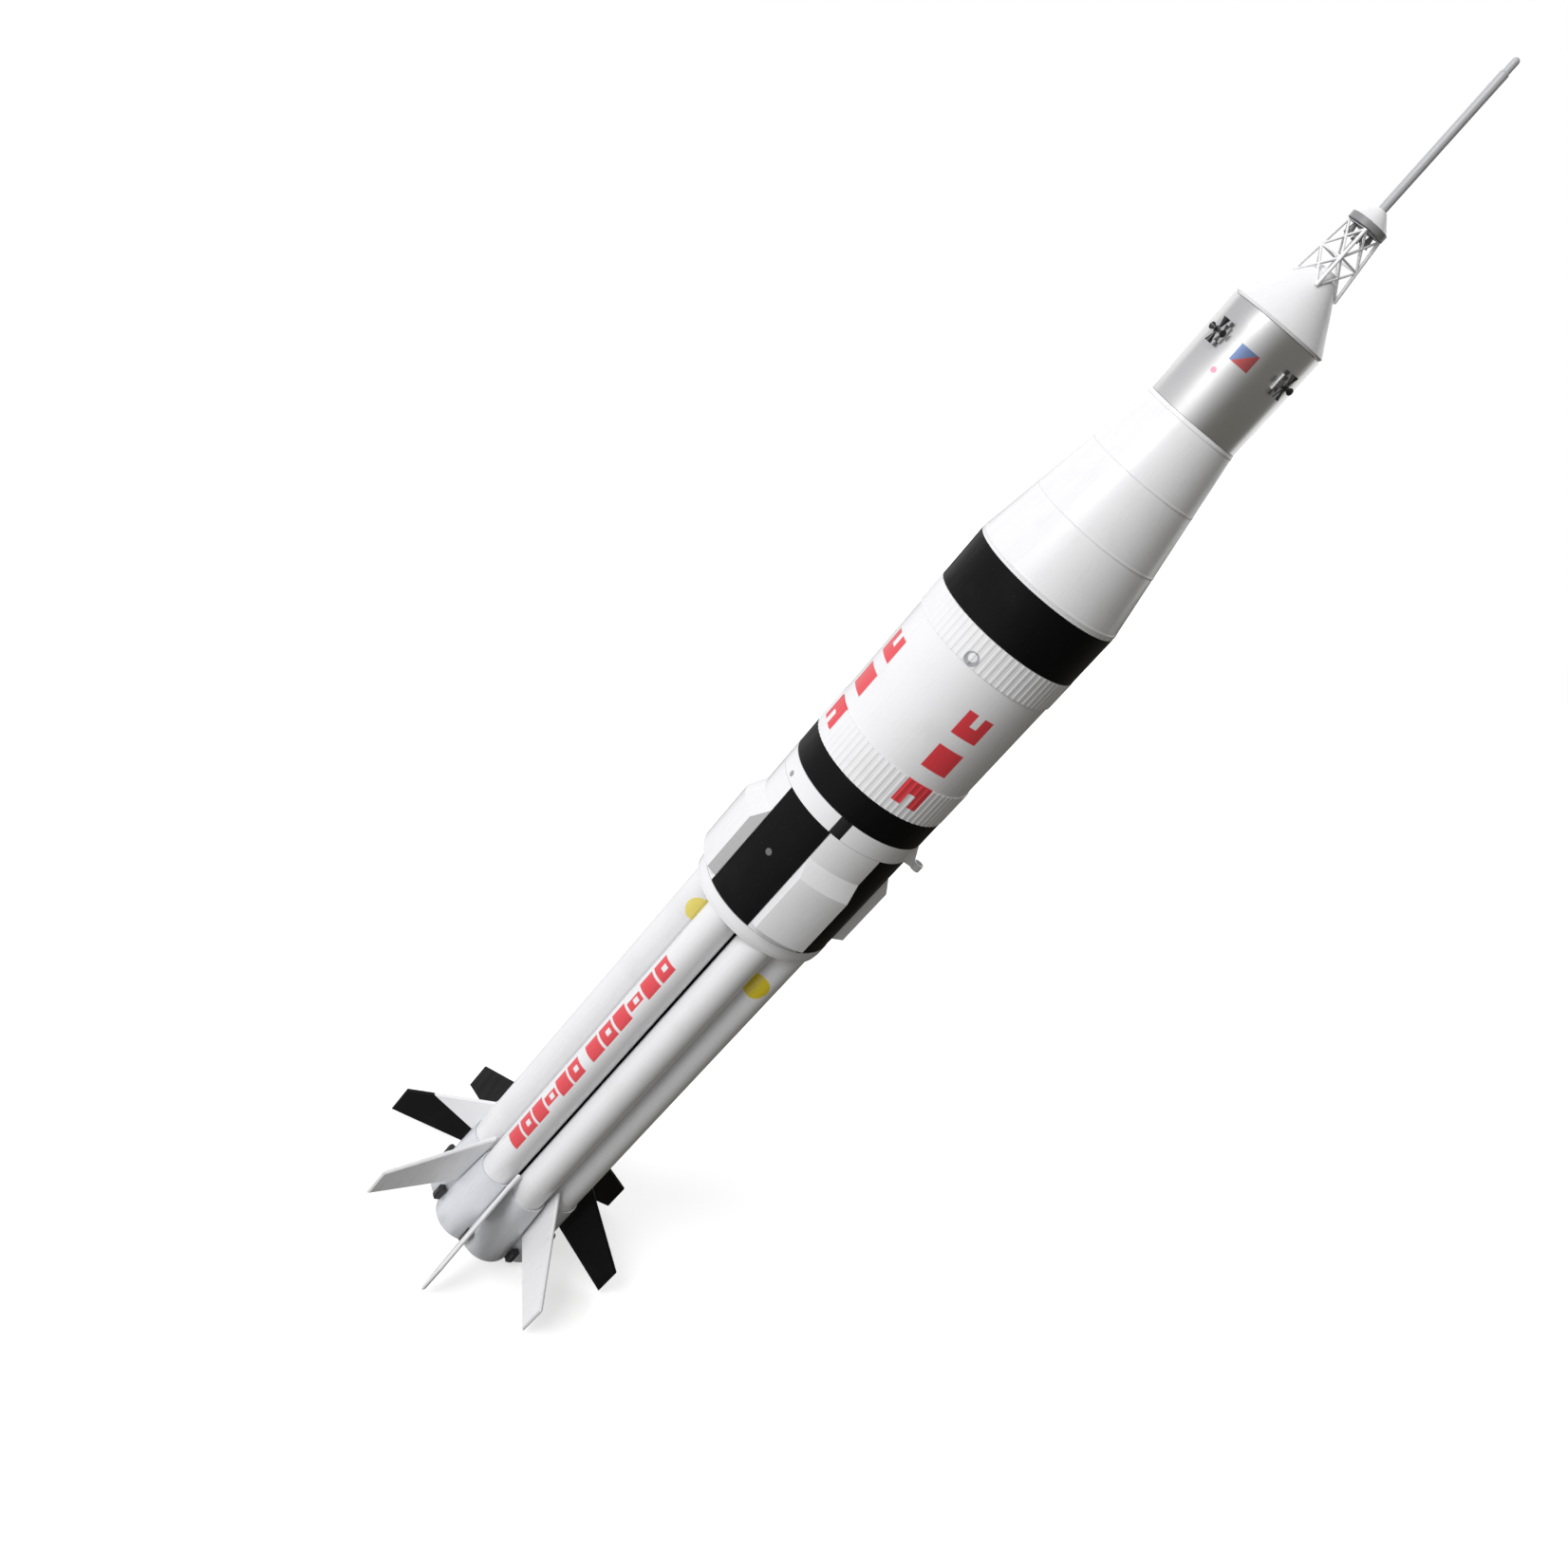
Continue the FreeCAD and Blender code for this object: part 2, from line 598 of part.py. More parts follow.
save(ring(BODY_R, BODY_IN_R, BODY_BOTTOM, BODY_TOP), "upper_body_tube")
save(ring(WRAP_R, WRAP_IN_R, BODY_BOTTOM + GLUE_GAP, AFT_RING_TOP), "aft_black_ring")
save(make_ribbed_wrap(AFT_RING_TOP + GAP, AFT_RIBS_TOP), "aft_ribbed_wrap")
save(make_ribbed_wrap(FORE_RIBS_BOTTOM, FORE_BAND_BOTTOM - GAP), "fore_ribbed_wrap")
save(ring(WRAP_R, WRAP_IN_R, FORE_BAND_BOTTOM, BODY_TOP), "fore_black_band")
save(cylinder(WADDING_R, WADDING_BOTTOM, WADDING_TOP), "wadding_pad")
save(make_pack(), "parachute_pack")
save(make_anchor(), "cord_anchor")
lower_lug = make_lug(LUG_LOWER_BOTTOM, LUG_LOWER_TOP, LUG_LOWER_ROOT_R, LUG_LOWER_TOP)
upper_lug = make_lug(LUG_UPPER_BOTTOM, LUG_UPPER_TOP, LUG_UPPER_ROOT_R, LUG_UPPER_ROOT_TOP)
save(lower_lug, "launch_lug_lower")
save(upper_lug, "launch_lug_upper")

# ---- write the nose section -----------------------------------------------------------------
save(make_shoulder(), "nose_shoulder")
bulkhead_out = SHOULDER_IN_R - GLUE_GAP
bulkhead_bottom = SHOULDER_BOTTOM + GLUE_GAP
save(cylinder(bulkhead_out, bulkhead_bottom, bulkhead_bottom + PLATE), "nose_bulkhead")
save(make_eye(), "nose_eye")
save(make_adapter(), "adapter_cone")
coupler = ring(SERVICE_COUPLER_R, SERVICE_COUPLER_IN_R, SERVICE_COUPLER_BOTTOM, SERVICE_COUPLER_TOP)
save(coupler, "service_coupler")
save(ring(SERVICE_R, SERVICE_R - SERVICE_WALL, SERVICE_BOTTOM, SERVICE_TOP), "service_tube")
disc_out = SERVICE_R - SERVICE_WALL - GLUE_GAP
save(cylinder(disc_out, SERVICE_TOP - PLATE, SERVICE_TOP), "service_disc")
plates = all_round(make_thruster_plate(), THRUSTERS, SECTOR_ANGLE)
save(Part.makeCompound(plates), "thruster_plates")
nozzles = []
for nozzle in make_thruster_nozzles():
    nozzles.extend(all_round(nozzle, THRUSTERS, SECTOR_ANGLE))
save(Part.makeCompound(nozzles), "thruster_nozzles")
save(make_capsule(), "capsule")
save(make_tower(), "escape_tower")
escape_nozzles = all_round(make_escape_nozzle(), TOWER_LEGS)
save(Part.makeCompound(escape_nozzles), "escape_nozzles")
save(cylinder(SKIRT_BAND_R, SKIRT_BAND_BOTTOM, SKIRT_BAND_TOP), "escape_skirt_band")
save(make_skirt_cone(), "escape_skirt_cone")
save(cylinder(ROD_R, ROD_BOTTOM, ROD_TOP), "escape_rod")
save(make_tip(), "nose_tip")
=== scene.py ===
import math
import random

import bpy
from mathutils import Matrix, Vector


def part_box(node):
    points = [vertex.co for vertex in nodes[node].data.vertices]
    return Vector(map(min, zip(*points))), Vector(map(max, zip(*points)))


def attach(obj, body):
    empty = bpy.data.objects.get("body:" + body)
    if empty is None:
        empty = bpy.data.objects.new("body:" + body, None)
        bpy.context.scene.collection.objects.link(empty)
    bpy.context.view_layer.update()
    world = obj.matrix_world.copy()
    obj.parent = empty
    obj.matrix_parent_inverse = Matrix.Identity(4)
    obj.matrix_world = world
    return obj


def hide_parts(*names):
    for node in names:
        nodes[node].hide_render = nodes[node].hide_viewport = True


# Looks of the scale rocket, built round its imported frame. Metres and degrees, +Z towards the tip.
# Azimuth 0 points along -Y, towards the camera, and 90 along +X.

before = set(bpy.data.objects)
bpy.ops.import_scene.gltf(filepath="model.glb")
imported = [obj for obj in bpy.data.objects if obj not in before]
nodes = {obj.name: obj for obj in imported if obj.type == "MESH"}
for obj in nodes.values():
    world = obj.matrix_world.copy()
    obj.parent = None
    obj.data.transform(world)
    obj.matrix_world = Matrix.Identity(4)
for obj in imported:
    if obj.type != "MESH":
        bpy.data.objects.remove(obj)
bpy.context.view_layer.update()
rng = random.Random(7)

TANKS = 8

# ---- camera -------------------------------------------------------------------------------
CAMERA_PLACE = (-0.0282, -0.7507, 0.7528)
CAMERA_YAW = 0.73
CAMERA_PITCH = -22.46
CAMERA_ROLL = 40.79
CAMERA_LENS = 30.83
CAMERA_SHIFT = (-0.0221, -0.0249)

# ---- studio -------------------------------------------------------------------------------
FLOOR_SIZE = 60.0
FLOOR_DROP = 0.0004
FLOOR_GLOW = 0.50
FLOOR_GLOW_FAR = 1.0
LEFT_LOW = (0.86, 0.86, 0.88)
SIDE_LOW = (0.085, 0.078, 0.060)
LEFT_HIGH = (0.62, 0.62, 0.64)
SIDE_HIGH = (0.19, 0.187, 0.175)
BEHIND = (1.10, 1.10, 1.10)
BACKDROP = (1.0, 1.0, 1.0)
KEY_PLACE = (-1.65, -2.0, 1.9)
KEY_SIZE = 1.6
KEY_POWER = 56.0

# ---- sizes of the pieces made here ----------------------------------------------------------
ROLL_CLEAR = 0.0012
ROLL_CORE_R = 0.0042
ROLL_PITCH = 0.0024
ROLL_STEPS = 48
ROLL_ROWS = 33
ROLL_CREASE = 0.00028
ROLL_THICK = 0.0003
WADDING_SHEETS = 3
WADDING_GRID = 61
WADDING_THICK = 0.0004
RING_SHARES = (0.012, 0.34, 0.67, 0.985)
RING_TALL = 0.0016
RING_PROUD = 0.00018
RING_SUNK = 0.0003
RING_TOP_STEP = 0.0001
RING_STEPS = 144

# ---- paint colours --------------------------------------------------------------------------
WHITE = (0.83, 0.83, 0.84)
WHITE_DIRTY = (0.70, 0.69, 0.66)
BLACK = (0.0035, 0.0035, 0.004)
BLACK_SPECULAR = 0.11
RED = (0.76, 0.055, 0.07)
YELLOW = (0.78, 0.62, 0.03)
YELLOW_PALE = (0.80, 0.68, 0.16)
BLACK_WORN = (0.014, 0.014, 0.013)

# ---- painted marks, azimuth and height ------------------------------------------------------
SERVICE_R = 0.0280
SKIN_R = 0.0481
PATCH_AZIMUTH = -6.0
PATCH_HEIGHT = 0.7600
PATCH_SIZE = (0.0115, 0.0095)
PATCH_BLUE = (0.22, 0.30, 0.50)
PATCH_RED = (0.60, 0.14, 0.14)
PATCH_PINK = (0.75, 0.35, 0.45)
BODY_MARK_AZIMUTH = 26.5
BODY_MARK_HEIGHTS = (0.4745, 0.5015, 0.5275)
BODY_MARK_HALF = 0.0085
BODY_MARK_STROKE = 0.0020
TANK_MARK_LOCAL = -28.0
TANK_MARK_SPANS = ((0.0935, 0.1825), (0.1895, 0.2860))
TANK_MARK_ROWS = 6
TANK_MARK_WIDE = 0.0062
TANK_MARK_NARROW = 0.0032
TANK_MARK_SLIT = 0.0016
TANK_DISC_R = 0.0088
TANK_DISCS = {
    7: (26.0, 0.3155, YELLOW_PALE),
    2: (-2.0, 0.3015, YELLOW),
    3: (206.0, 0.3155, YELLOW_PALE),
    6: (178.0, 0.3015, YELLOW),
}
TAB_AZIMUTH = 4.5
TAB_HEIGHT = 0.4320
TAB_SIZE = (0.0082, 0.013)
GREY_DOT_AZIMUTH = -53.0
GREY_DOT_HEIGHT = 0.4295
RING_MARK_AZIMUTH = -6.0
RING_MARK_HEIGHT = 0.5585
PINK_DOT_AZIMUTH = -22.0
PINK_DOT_HEIGHT = 0.7468
PANEL_DOT_AZIMUTH = -22.5
PANEL_DOT_HEIGHT = 0.3885
# lower edge of the painted reflection on the left black fin: its height and slope
FIN_GLARE_HEIGHT = 0.0400
FIN_GLARE_SLOPE = 0.02


def at(radius, azimuth, height):
    angle = math.radians(azimuth)
    return Vector((radius * math.sin(angle), -radius * math.cos(angle), height))


# ---- material building ----------------------------------------------------------------------
class Finish:
    """One procedural material. Places are read from object coordinates, which are CAD metres."""

    def __init__(self, name, colour, roughness, metallic=0.0, coat=0.0, sheen=0.0):
        self.material = bpy.data.materials.new(name)
        self.material.use_nodes = True
        self.tree = self.material.node_tree
        self.shader = self.tree.nodes["Principled BSDF"]
        self.shader.inputs["Base Color"].default_value = (*colour, 1.0)
        self.shader.inputs["Roughness"].default_value = roughness
        self.shader.inputs["Metallic"].default_value = metallic
        self.shader.inputs["Coat Weight"].default_value = coat
        self.shader.inputs["Sheen Weight"].default_value = sheen
        self.place = self.node("ShaderNodeTexCoord").outputs["Object"]
        self.axes = self.node("ShaderNodeSeparateXYZ", Vector=self.place).outputs

    def node(self, kind, settings=None, **inputs):
        made = self.tree.nodes.new(kind)
        for key, value in (settings or {}).items():
            setattr(made, key, value)
        for key, value in inputs.items():
            self.feed(made.inputs[key.replace("_", " ")], value)
        return made

    def feed(self, socket, value):
        if isinstance(value, bpy.types.NodeSocket):
            self.tree.links.new(value, socket)
        else:
            socket.default_value = value

    def math(self, operation, first, second=0.0, third=0.0):
        made = self.node("ShaderNodeMath", {"operation": operation})
        for socket, value in zip(made.inputs, (first, second, third)):
            self.feed(socket, value)
        return made.outputs[0]

    def step(self, value, low, high, start=0.0, end=1.0):
        """Smooth change from start to end while value goes from low to high."""
        made = self.node(
            "ShaderNodeMapRange", {"interpolation_type": "SMOOTHSTEP"},
            Value=value, From_Min=low, From_Max=high, To_Min=start, To_Max=end)
        return made.outputs["Result"]

    def inside(self, value, low, high, soft):
        """1 between low and high, 0 outside, with edges that are soft wide."""
        rise = self.step(value, low - soft, low + soft)
        fall = self.step(value, high - soft, high + soft, 1.0, 0.0)
        return self.math("MULTIPLY", rise, fall)

    def length(self, across, rise):
        """Distance of a point from the middle of a mark."""
        squares = (self.math("MULTIPLY", across, across), self.math("MULTIPLY", rise, rise))
        return self.math("SQRT", self.math("ADD", *squares))

    def noise(self, scale, detail=4.0, rough=0.5, place=None, stretch=None):
        source = place or self.place
        if stretch:
            maker = self.node("ShaderNodeVectorMath", {"operation": "MULTIPLY"})
            self.feed(maker.inputs[0], source)
            maker.inputs[1].default_value = stretch
            source = maker.outputs[0]
        made = self.node("ShaderNodeTexNoise", Vector=source, Scale=scale, Detail=detail, Roughness=rough)
        return made.outputs["Fac"]

    def mix(self, factor, first, second):
        made = self.node("ShaderNodeMix", {"data_type": "RGBA"})
        self.feed(made.inputs["Factor"], factor)
        for key, value in (("A", first), ("B", second)):
            socket = [s for s in made.inputs if s.name == key and s.type == "RGBA"][0]
            self.feed(socket, value if isinstance(value, bpy.types.NodeSocket) else (*value, 1.0))
        return [s for s in made.outputs if s.type == "RGBA"][0]

    def azimuth(self, centre=(0.0, 0.0)):
        across = self.math("SUBTRACT", self.axes["X"], centre[0])
        towards = self.math("SUBTRACT", centre[1], self.axes["Y"])
        return self.math("DEGREES", self.math("ARCTAN2", across, towards))

    def turned(self, azimuth, centre):
        """Signed degrees from centre, between -180 and 180."""
        shifted = self.math("ADD", azimuth, 540.0 - centre)
        return self.math("SUBTRACT", self.math("MODULO", shifted, 360.0), 180.0)

    def colour(self, source):
        self.feed(self.shader.inputs["Base Color"], source)

    def roughness(self, source):
        self.feed(self.shader.inputs["Roughness"], source)

    def bump(self, height, distance, strength=1.0):
        """Adds a relief of that real depth in metres."""
        made = self.node("ShaderNodeBump", Height=height, Distance=distance, Strength=strength)
        socket = self.shader.inputs["Normal"]
        if socket.links:
            self.feed(made.inputs["Normal"], socket.links[0].from_socket)
        self.feed(socket, made.outputs[0])

    def give(self, *names):
        for name in names:
            slots = nodes[name].material_slots
            for slot in slots:
                slot.material = self.material
            if not slots:
                nodes[name].data.materials.append(self.material)
        return self


def painted(name, colour, worn, roughness=0.29, coat=0.22):
    """Semi-gloss spray paint: faint mottling, dust, hairline scratches and orange-peel relief."""
    finish = Finish(name, colour, roughness, coat=coat)
    finish.shader.inputs["Coat Roughness"].default_value = 0.12
    patches = finish.noise(38.0, 5.0, 0.6)
    dust = finish.step(patches, 0.48, 0.80, 0.0, 0.30)
    finish.paint = finish.mix(dust, colour, worn)
    finish.colour(finish.paint)
    streaks = finish.noise(160.0, 3.0, 0.6, stretch=(1.0, 1.0, 0.12))
    finish.roughness(finish.step(streaks, 0.3, 0.75, roughness - 0.06, roughness + 0.12))
    finish.bump(finish.noise(900.0, 2.0), 0.00003, 0.5)
    finish.bump(finish.noise(3200.0, 1.0, stretch=(1.0, 1.0, 0.05)), 0.00001, 0.4)
    return finish


def mark(finish, factor, colour):
    """Paints colour over what the finish has so far, where factor is 1."""
    finish.paint = finish.mix(factor, finish.paint, colour)
    finish.colour(finish.paint)


def paper_seam(finish, centre, pitch):
    """The faint spiral join of a wound paper tube under its paint."""
    turn = finish.math("DIVIDE", finish.azimuth(centre), 360.0)
    rise = finish.math("DIVIDE", finish.axes["Z"], pitch)
    phase = finish.math("FRACT", finish.math("ADD", finish.math("ADD", turn, rise), 50.0))
    groove = finish.inside(phase, 0.49, 0.51, 0.006)
    finish.bump(groove, -0.00006, 0.6)


# ---- finishes -------------------------------------------------------------------------------
def tank_finish(index):
    """White tube with stacked red blocks on the outward side of two tanks and a yellow disc on others."""
    low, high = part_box("tank_tube_%d" % index)
    centre = ((low.x + high.x) / 2, (low.y + high.y) / 2)
    radius = (high.x - low.x) / 2
    finish = painted("tank_paint_%d" % index, WHITE, WHITE_DIRTY)
    paper_seam(finish, centre, 0.055)
    local = finish.azimuth(centre)
    height = finish.axes["Z"]
    if index in (8, 4):
        facing = TANK_MARK_LOCAL if index == 8 else TANK_MARK_LOCAL + 180.0
        across = finish.math("MULTIPLY", finish.turned(local, facing), math.radians(radius))
        shown = stacked_blocks(finish, across, height)
        mark(finish, shown, RED)
    if index in TANK_DISCS:
        side, level, colour = TANK_DISCS[index]
        across = finish.math("MULTIPLY", finish.turned(local, side), math.radians(radius))
        rise = finish.math("SUBTRACT", height, level)
        distance = finish.length(across, rise)
        mark(finish, finish.step(distance, TANK_DISC_R, TANK_DISC_R + 0.0005, 1.0, 0.0), colour)
    return finish.give("tank_tube_%d" % index)


def stacked_blocks(finish, across, height):
    """Generic stacked blocks, six to a group, with a few narrow or hollow ones among them."""
    shown = None
    for bottom, top in TANK_MARK_SPANS:
        pitch = (top - bottom) / TANK_MARK_ROWS
        share = finish.math("DIVIDE", finish.math("SUBTRACT", height, bottom), pitch)
        number = finish.math("FLOOR", share)
        phase = finish.math("FRACT", share)
        from_middle = finish.math("ABSOLUTE", finish.math("SUBTRACT", number, TANK_MARK_ROWS / 2))
        half_width = finish.step(from_middle, 0.3, 0.6, TANK_MARK_NARROW, TANK_MARK_WIDE)
        width = finish.math("ABSOLUTE", across)
        rows = finish.inside(phase, 0.06, 0.92, 0.03)
        columns = finish.step(finish.math("SUBTRACT", width, half_width), -0.0002, 0.0003, 1.0, 0.0)
        block = finish.math("MULTIPLY", rows, columns)
        slit = finish.step(width, TANK_MARK_SLIT, TANK_MARK_SLIT + 0.0005, 1.0, 0.0)
        slit = finish.math("MULTIPLY", slit, finish.inside(phase, 0.42, 0.72, 0.03))
        odd = finish.step(finish.math("MODULO", number, 2.0), 0.4, 0.6)
        kept = finish.math("SUBTRACT", 1.0, finish.math("MULTIPLY", slit, odd))
        block = finish.math("MULTIPLY", block, kept)
        block = finish.math("MULTIPLY", block, finish.inside(height, bottom, top, 0.0002))
        shown = block if shown is None else finish.math("MAXIMUM", shown, block)
    return shown


def body_finish():
    finish = painted("body_paint", WHITE, WHITE_DIRTY)
    low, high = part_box("upper_body_tube")
    radius = (high.x - low.x) / 2
    paper_seam(finish, (0.0, 0.0), 0.11)
    height = finish.axes["Z"]
    shifted = finish.math("ADD", finish.azimuth(), 360.0 + 45.0 - BODY_MARK_AZIMUTH)
    quarter = finish.math("MODULO", shifted, 90.0)
    across = finish.math("MULTIPLY", finish.math("SUBTRACT", quarter, 45.0), math.radians(radius))
    width = finish.math("ABSOLUTE", across)
    for number, level in enumerate(BODY_MARK_HEIGHTS):
        rise = finish.math("SUBTRACT", height, level)
        rows = finish.inside(rise, -BODY_MARK_HALF, BODY_MARK_HALF, 0.0004)
        columns = finish.step(width, BODY_MARK_HALF, BODY_MARK_HALF + 0.0006, 1.0, 0.0)
        block = finish.math("MULTIPLY", rows, columns)
        if number != 1:
            sign = 1.0 if number else -1.0
            lobe = finish.inside(finish.math("MULTIPLY", rise, sign), 0.000, 0.02, 0.0004)
            slot = finish.step(width, BODY_MARK_STROKE, BODY_MARK_STROKE + 0.0006, 1.0, 0.0)
            notch = finish.math("MULTIPLY", lobe, slot)
            block = finish.math("MULTIPLY", block, finish.math("SUBTRACT", 1.0, notch))
        mark(finish, block, RED)
    return finish.give("upper_body_tube", "aft_ribbed_wrap")


def moulded_finish():
    """Moulded white plastic, a touch glossier and smoother than the painted tubes."""
    finish = painted("white_plastic", WHITE, WHITE_DIRTY, 0.24, 0.25)
    return finish.give(
        "collar_frame", "fairings_white", "capsule",
        "nose_shoulder", "escape_tower", "escape_skirt_cone", "launch_lug_lower", "launch_lug_upper")


def shroud_finish():
    """The tail shroud, in a cooler grey-blue darkened as painted shade, and darker in noisy patches round
    the lower edge.
    """
    # the grey-blue base colour is painted shade: the shroud's shadowed tone put into its paint
    finish = painted("shroud_paint_painted_shade", (0.70, 0.715, 0.75), (0.58, 0.58, 0.58), 0.28, 0.2)
    lower_edge_noise = finish.noise(90.0, 5.0, 0.65, stretch=(1.0, 1.0, 0.35))
    low = finish.step(finish.axes["Z"], 0.0, 0.016, 1.0, 0.0)
    shade = finish.math("MULTIPLY", low, finish.step(lower_edge_noise, 0.35, 0.75, 0.05, 0.55))
    mark(finish, shade, (0.30, 0.29, 0.28))
    return finish.give("tail_shroud")


def round_mark(finish, radius, azimuth, level, size, colour, soft=0.0004):
    across = finish.math("MULTIPLY", finish.turned(finish.azimuth(), azimuth), math.radians(radius))
    rise = finish.math("SUBTRACT", finish.axes["Z"], level)
    distance = finish.length(across, rise)
    mark(finish, finish.step(distance, size - soft, size + soft, 1.0, 0.0), colour)


def square_mark(finish, radius, azimuth, level, width, tall, colour, soft=0.0003):
    across = finish.math("MULTIPLY", finish.turned(finish.azimuth(), azimuth), math.radians(radius))
    rows = finish.inside(finish.math("SUBTRACT", finish.axes["Z"], level), -tall / 2, tall / 2, soft)
    columns = finish.inside(across, -width / 2, width / 2, soft)
    mark(finish, finish.math("MULTIPLY", rows, columns), colour)


def collar_finish():
    finish = painted("collar_paint", WHITE, WHITE_DIRTY, 0.24, 0.25)
    for half_turn in (0.0, 180.0):
        square_mark(finish, SKIN_R, TAB_AZIMUTH + half_turn, TAB_HEIGHT, *TAB_SIZE, BLACK)
    for half_turn in (0.0, 180.0):
        azimuth = GREY_DOT_AZIMUTH + half_turn
        round_mark(finish, SKIN_R, azimuth, GREY_DOT_HEIGHT, 0.0020, (0.30, 0.30, 0.31))
    return finish.give("collar_band")


def fore_wrap_finish():
    finish = painted("wrap_paint", WHITE, WHITE_DIRTY, 0.24, 0.25)
    for quarter in range(4):
        azimuth = RING_MARK_AZIMUTH + 90.0 * quarter
        round_mark(finish, SKIN_R, azimuth, RING_MARK_HEIGHT, 0.0045, (0.36, 0.37, 0.39))
        round_mark(finish, SKIN_R, azimuth, RING_MARK_HEIGHT + 0.0010, 0.0026, WHITE)
    return finish.give("fore_ribbed_wrap")


def adapter_finish():
    finish = painted("adapter_paint", WHITE, WHITE_DIRTY)
    return finish.give("adapter_cone")


def black_finish():
    """Semi-gloss black paint with dust specks that catch the light."""
    finish = painted("black_paint", BLACK, BLACK_WORN, 0.42, 0.0)
    finish.shader.inputs["Specular IOR Level"].default_value = BLACK_SPECULAR
    specks = finish.step(finish.noise(1500.0, 2.0), 0.74, 0.78, 0.0, 0.5)
    mark(finish, specks, (0.16, 0.16, 0.155))
    round_mark(finish, SKIN_R, PANEL_DOT_AZIMUTH, PANEL_DOT_HEIGHT, 0.0022, (0.16, 0.16, 0.16))
    return finish.give(
        "aft_black_ring", "fore_black_band", "fairings_black", "core_tube", "fin_3", "fin_4", "fin_6")


def glare_fin_finish():
    """The left black fin, with a painted reflection: its upper inboard corner stays white, painted in to
    stand in for glare of the key light on the gloss black.
    """
    finish = painted("black_paint_painted_glare", BLACK, BLACK_WORN, 0.42, 0.0)
    finish.shader.inputs["Specular IOR Level"].default_value = BLACK_SPECULAR
    out = finish.math("MULTIPLY", finish.axes["X"], -1.0)
    edge = finish.math("SUBTRACT", finish.axes["Z"], finish.math("MULTIPLY", out, FIN_GLARE_SLOPE))
    # painted reflection: white over the upper inboard corner, standing in for glare on the black paint
    mark(finish, finish.step(edge, FIN_GLARE_HEIGHT, FIN_GLARE_HEIGHT + 0.0005), WHITE)
    return finish.give("fin_7")


def white_fin_finish():
    finish = painted("white_fin_paint", WHITE, WHITE_DIRTY)
    return finish.give("fin_1", "fin_2", "fin_5", "fin_8")


def foil_finish():
    """Self-adhesive metal foil: small waves, faint rubbing marks and one lapped seam."""
    finish = Finish("silver_foil", (0.74, 0.74, 0.74), 0.26, metallic=1.0)
    cloud = finish.noise(22.0, 3.0)
    finish.paint = finish.mix(cloud, (0.72, 0.72, 0.72), (0.80, 0.80, 0.79))
    finish.colour(finish.paint)
    finish.roughness(finish.step(cloud, 0.3, 0.7, 0.25, 0.33))
    finish.bump(finish.noise(26.0, 2.0), 0.00010, 0.4)
    finish.bump(finish.noise(700.0, 3.0, 0.6, stretch=(1.0, 1.0, 0.3)), 0.000003, 0.4)
    seam = finish.inside(finish.turned(finish.azimuth(), 150.0), -0.6, 0.6, 0.15)
    finish.bump(seam, 0.0001, 0.8)
    across = finish.math("MULTIPLY", finish.turned(finish.azimuth(), PATCH_AZIMUTH), math.radians(SERVICE_R))
    rise = finish.math("SUBTRACT", finish.axes["Z"], PATCH_HEIGHT)
    half_wide, half_tall = PATCH_SIZE[0] / 2, PATCH_SIZE[1] / 2
    shown = finish.math(
        "MULTIPLY", finish.inside(across, -half_wide, half_wide, 0.0003),
        finish.inside(rise, -half_tall, half_tall, 0.0003))
    diagonal = finish.step(finish.math("SUBTRACT", rise, across), -0.0002, 0.0002)
    mark(finish, shown, finish.mix(diagonal, PATCH_RED, PATCH_BLUE))
    round_mark(finish, SERVICE_R, PINK_DOT_AZIMUTH, PINK_DOT_HEIGHT, 0.0016, PATCH_PINK)
    return finish.give("service_tube", "thruster_plates")


def grey_finish():
    """Grey paint on a turned dowel, with its grain just showing."""
    finish = painted("grey_paint", (0.46, 0.465, 0.475), (0.33, 0.33, 0.335), 0.38, 0.1)
    grain = finish.noise(700.0, 4.0, 0.6, stretch=(1.0, 1.0, 0.04))
    finish.bump(grain, 0.00006, 0.6)
    return finish.give("escape_rod", "nose_tip")


def band_finish():
    finish = painted("band_grey", (0.25, 0.25, 0.255), (0.18, 0.18, 0.18), 0.40, 0.1)
    return finish.give("escape_skirt_band", "escape_nozzles")


def dark_plastic_finish():
    finish = Finish("dark_plastic", (0.02, 0.02, 0.022), 0.38)
    worn = finish.noise(300.0, 5.0, 0.65)
    finish.colour(finish.mix(finish.step(worn, 0.4, 0.8), (0.014, 0.014, 0.016), (0.045, 0.045, 0.048)))
    finish.roughness(finish.step(worn, 0.3, 0.7, 0.30, 0.48))
    finish.bump(finish.noise(2200.0, 2.0), 0.00002, 0.5)
    return finish.give(
        "hold_down_pads", "thruster_nozzles", "retainer_body", "retainer_cap")


def paper_finish(name, light, dark, pitch, *members):
    """Wound brown paper: spiral joins, long fibres and a soft sheen."""
    finish = Finish(name, light, 0.72, sheen=0.1)
    fibres = finish.noise(900.0, 6.0, 0.7, stretch=(1.0, 1.0, 0.35))
    clouds = finish.noise(60.0, 3.0)
    blotch = finish.math("MULTIPLY", finish.math("ADD", fibres, clouds), 0.5)
    turn = finish.math("DIVIDE", finish.azimuth(), 360.0)
    rise = finish.math("DIVIDE", finish.axes["Z"], pitch)
    phase = finish.math("FRACT", finish.math("ADD", finish.math("ADD", turn, rise), 50.0))
    join = finish.inside(phase, 0.485, 0.515, 0.01)
    tone = finish.math("MAXIMUM", finish.step(blotch, 0.3, 0.75), join)
    finish.colour(finish.mix(tone, light, dark))
    finish.roughness(finish.step(fibres, 0.3, 0.7, 0.62, 0.85))
    finish.bump(fibres, 0.00005, 0.7)
    finish.bump(join, -0.0001, 0.8)
    return finish.give(*members)


